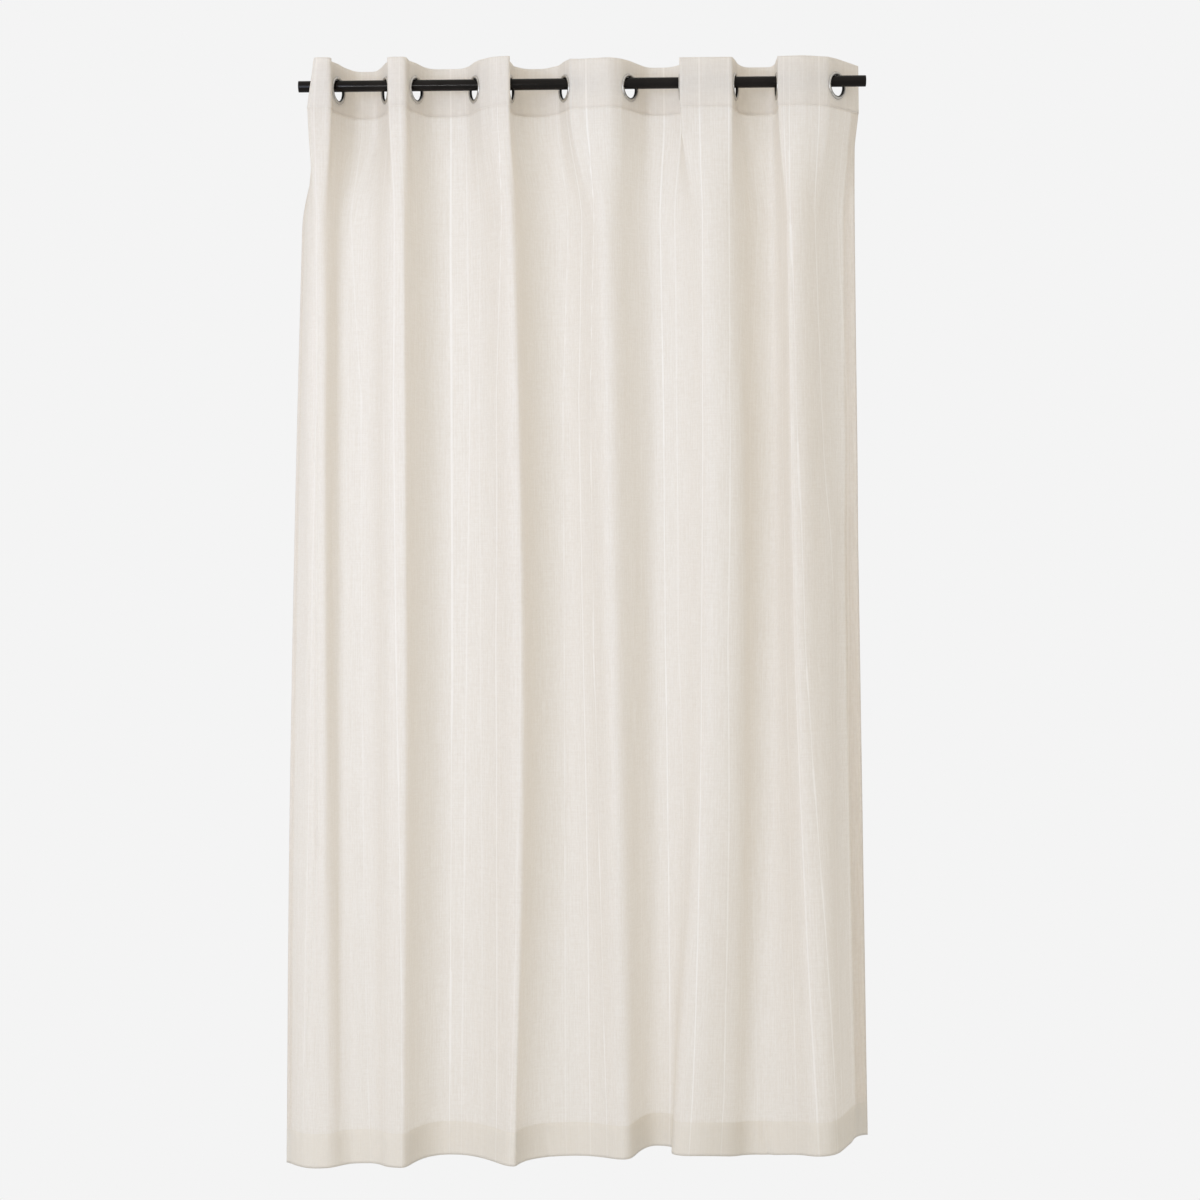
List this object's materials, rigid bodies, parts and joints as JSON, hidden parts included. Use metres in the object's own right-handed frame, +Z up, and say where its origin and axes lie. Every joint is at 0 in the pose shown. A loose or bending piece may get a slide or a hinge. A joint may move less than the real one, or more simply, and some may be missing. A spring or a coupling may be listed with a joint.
{
  "type": "sheer voile eyelet curtain on a rod",
  "caption": "Sheer voile curtain hanging in uneven folds, threaded by metal eyelets in its heading onto a plain round rod.",
  "frame": {"origin": "on the rod's axis, midway between its ends", "axes": "+X along the rod to the right as seen from the front, +Z up, the front of the cloth faces -Y"},
  "size_m": [1.1484, 0.1863, 2.1432],
  "materials": {
    "voile": "sheer, slubby linen-look weave with thin raised vertical stripes",
    "heading": "the same weave, doubled, so nearly opaque",
    "eyelet": "satin nickel",
    "rod": "satin black"
  },
  "bodies": {
    "root": {"curtain_panel": "voile", "heading_band": "heading", "rod": "rod", "eyelet_01": "eyelet", "eyelet_02": "eyelet", "eyelet_03": "eyelet", "eyelet_04": "eyelet", "eyelet_05": "eyelet", "eyelet_06": "eyelet", "eyelet_07": "eyelet", "eyelet_08": "eyelet", "eyelet_09": "eyelet", "eyelet_10": "eyelet", "eyelet_11": "eyelet", "eyelet_12": "eyelet"}
  },
  "joints": []
}
